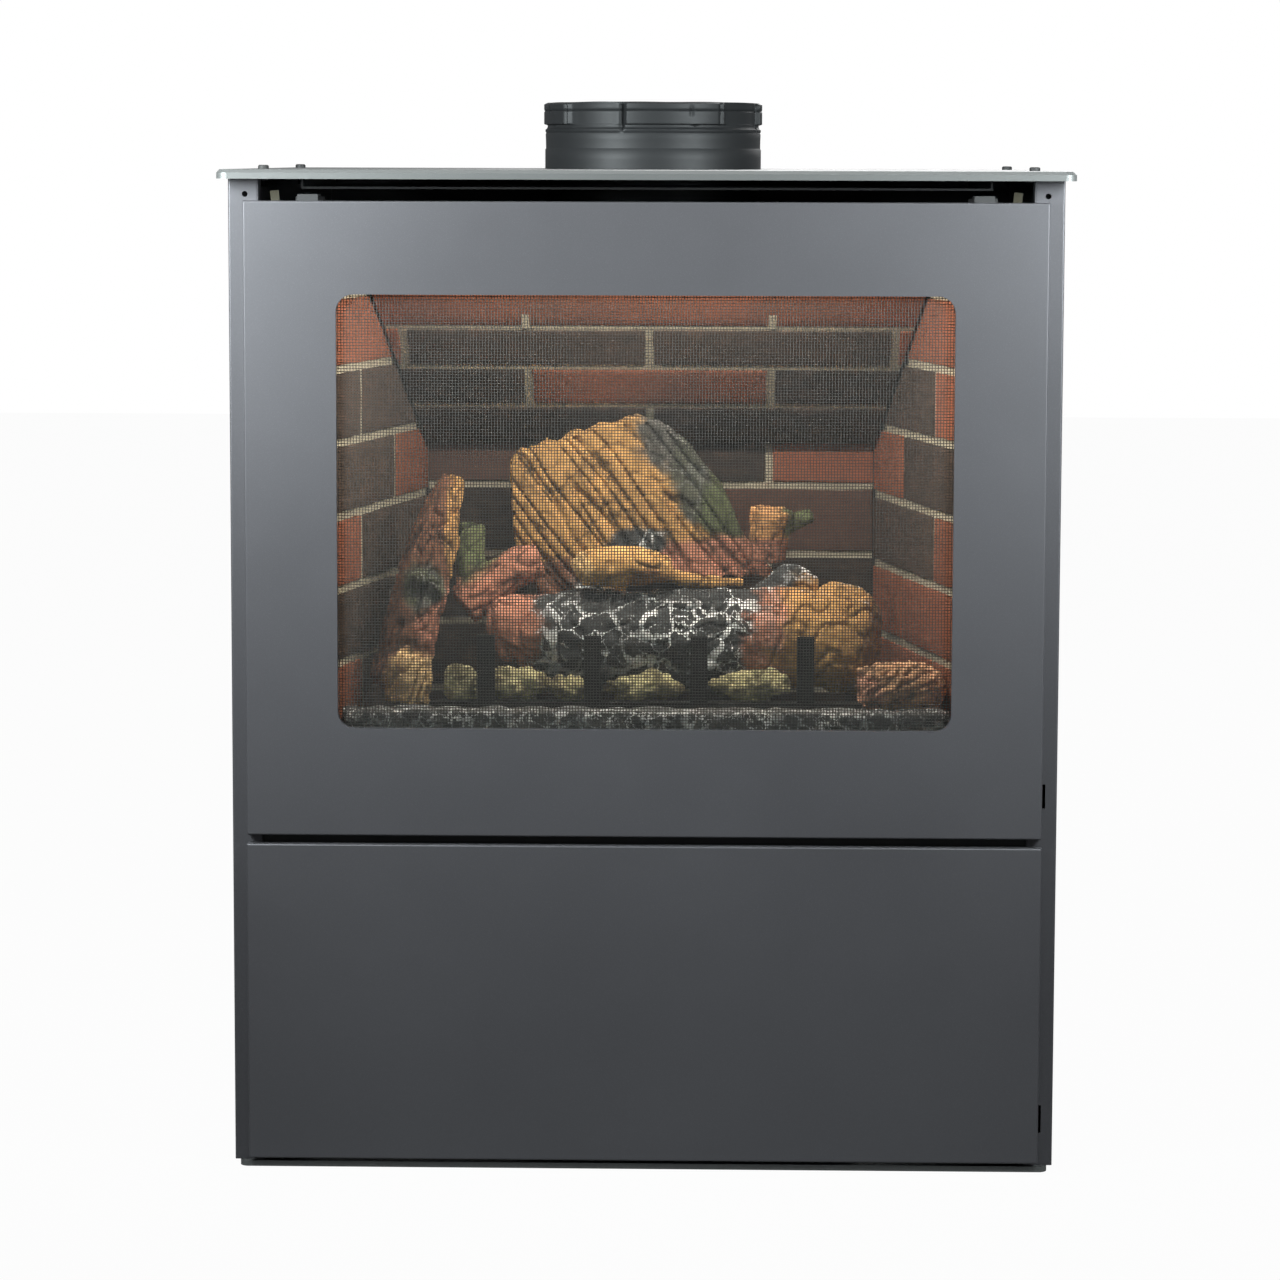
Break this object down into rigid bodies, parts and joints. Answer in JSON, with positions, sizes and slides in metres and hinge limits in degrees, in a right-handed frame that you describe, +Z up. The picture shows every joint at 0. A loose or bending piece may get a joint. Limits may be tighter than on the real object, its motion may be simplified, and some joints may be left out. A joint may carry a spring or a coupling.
{
  "type": "pedestal gas stove",
  "caption": "Free-standing sheet-steel gas stove with a coaxial top vent, lift-off screened front, brick-lined log fire and a drop-down door over the controls.",
  "frame": {"origin": "centre of the bounding box's bottom face, on the floor under the base plate", "axes": "+Z up, the front with the window and door faces -Y, +X to the right seen from the front"},
  "size_m": [0.5888, 0.46, 0.751],
  "materials": {
    "casing_paint": "satin metallic",
    "top_paint": "satin metallic",
    "black_steel": "matte black",
    "collar_paint": "satin black",
    "flue_steel": "dull",
    "galvanised": "galvanised",
    "zinc_yellow": "yellow zinc plated",
    "brick": "painted fibre brick",
    "glass": "clear ceramic glass",
    "gasket": "braided rope",
    "screen_wire": "black wire",
    "log_ceramic": "painted fibre",
    "charcoal": "charred fibre",
    "ember": "loose fibre",
    "burner_steel": "heat stained",
    "valve_metal": "cast",
    "tube_metal": "drawn",
    "brass_fitting": "turned",
    "black_plastic": "moulded",
    "red_plastic": "moulded",
    "magnet": "moulded",
    "pin_steel": "turned"
  },
  "bodies": {
    "stove": {"base_plate": "top_paint", "left_side_panel": "casing_paint", "right_side_panel": "casing_paint", "rear_panel": "casing_paint", "top_plate": "top_paint", "casing_screws": "black_steel", "front_cross_rail": "black_steel", "mid_rail": "black_steel", "top_heat_shield": "black_steel", "firebox_stands": "galvanised", "firebox_floor": "black_steel", "firebox_walls": "black_steel", "firebox_roof": "black_steel", "firebox_front_plate": "black_steel", "air_intake_duct": "galvanised", "outer_air_collar": "collar_paint", "inner_flue_collar": "flue_steel", "brick_panel_left": "brick", "brick_panel_right": "brick", "brick_panel_rear_lower": "brick", "brick_panel_rear_upper": "brick", "glass_frame": "black_steel", "window_glass": "glass", "glass_gasket": "gasket", "latch_screws": "pin_steel", "hinge_brackets": "black_steel", "magnet_catches": "magnet", "burner_tray": "burner_steel", "ember_strip": "charcoal", "log_grate": "black_steel", "rear_log": "log_ceramic", "front_log": "charcoal", "left_log": "log_ceramic", "left_rear_log": "log_ceramic", "cross_log": "log_ceramic", "stump_log": "log_ceramic", "right_bark_chunk": "log_ceramic", "ember_chunks": "ember", "pilot_assembly": "burner_steel", "gas_valve": "valve_metal", "igniter_body": "black_plastic", "switch_housing": "black_plastic", "control_bracket": "galvanised", "gas_tubes": "tube_metal", "gas_fittings": "brass_fitting"},
    "front_surround": {"front_face": "casing_paint", "front_hanger_tabs": "black_steel", "mesh_screen": "screen_wire", "mesh_retainer": "black_steel"},
    "door": {"lower_door": "casing_paint", "lower_door_heat_shield": "galvanised", "lower_door_pins": "pin_steel"},
    "left_latch": {"left_glass_latch": "zinc_yellow"},
    "right_latch": {"right_glass_latch": "zinc_yellow"},
    "shutter": {"air_shutter": "burner_steel"},
    "spindle": {"gas_knob_spindle": "pin_steel"},
    "main_knob": {"gas_knob": "black_plastic"},
    "flame_height_knob": {"flame_knob": "black_plastic"},
    "spark_button": {"igniter_button": "red_plastic"},
    "rocker": {"switch_rocker": "black_plastic"}
  },
  "joints": [
    {"name": "front_lift", "type": "slide", "parent": "stove", "child": "front_surround", "axis": [0, 0, 1], "range_m": [0, 0.008]},
    {"name": "lower_door_hinge", "type": "hinge", "parent": "stove", "child": "door", "pos_m": [0, -0.2175, 0.01], "axis": [1, 0, 0], "range_deg": [0, 90]},
    {"name": "left_latch_turn", "type": "hinge", "parent": "stove", "child": "left_latch", "pos_m": [-0.254, -0.2105, 0.664], "axis": [0, 1, 0], "range_deg": [0, 35], "stiffness_Nm_per_rad": 0.05, "springref_deg": -20.05},
    {"name": "right_latch_turn", "type": "hinge", "parent": "stove", "child": "right_latch", "pos_m": [0.254, -0.2105, 0.664], "axis": [0, -1, 0], "range_deg": [0, 35], "stiffness_Nm_per_rad": 0.05, "springref_deg": -20.05},
    {"name": "air_shutter_pull", "type": "slide", "parent": "stove", "child": "shutter", "axis": [0, -1, 0], "range_m": [0, 0.012]},
    {"name": "gas_knob_push", "type": "slide", "parent": "stove", "child": "spindle", "axis": [0, 1, 0], "range_m": [0, 0.005], "stiffness_N_per_m": 400, "springref_m": -0.003},
    {"name": "gas_knob_turn", "type": "hinge", "parent": "spindle", "child": "main_knob", "pos_m": [0.045, -0.17, 0.124], "axis": [0, -1, 0], "range_deg": [0, 180]},
    {"name": "flame_knob_turn", "type": "hinge", "parent": "stove", "child": "flame_height_knob", "pos_m": [0.092, -0.17, 0.124], "axis": [0, -1, 0], "range_deg": [0, 150]},
    {"name": "igniter_push", "type": "slide", "parent": "stove", "child": "spark_button", "axis": [0, 1, 0], "range_m": [0, 0.007], "stiffness_N_per_m": 800, "springref_m": -0.003},
    {"name": "rocker_tilt", "type": "hinge", "parent": "stove", "child": "rocker", "pos_m": [-0.035, -0.147, 0.075], "axis": [-1, 0, 0], "range_deg": [0, 16]}
  ]
}
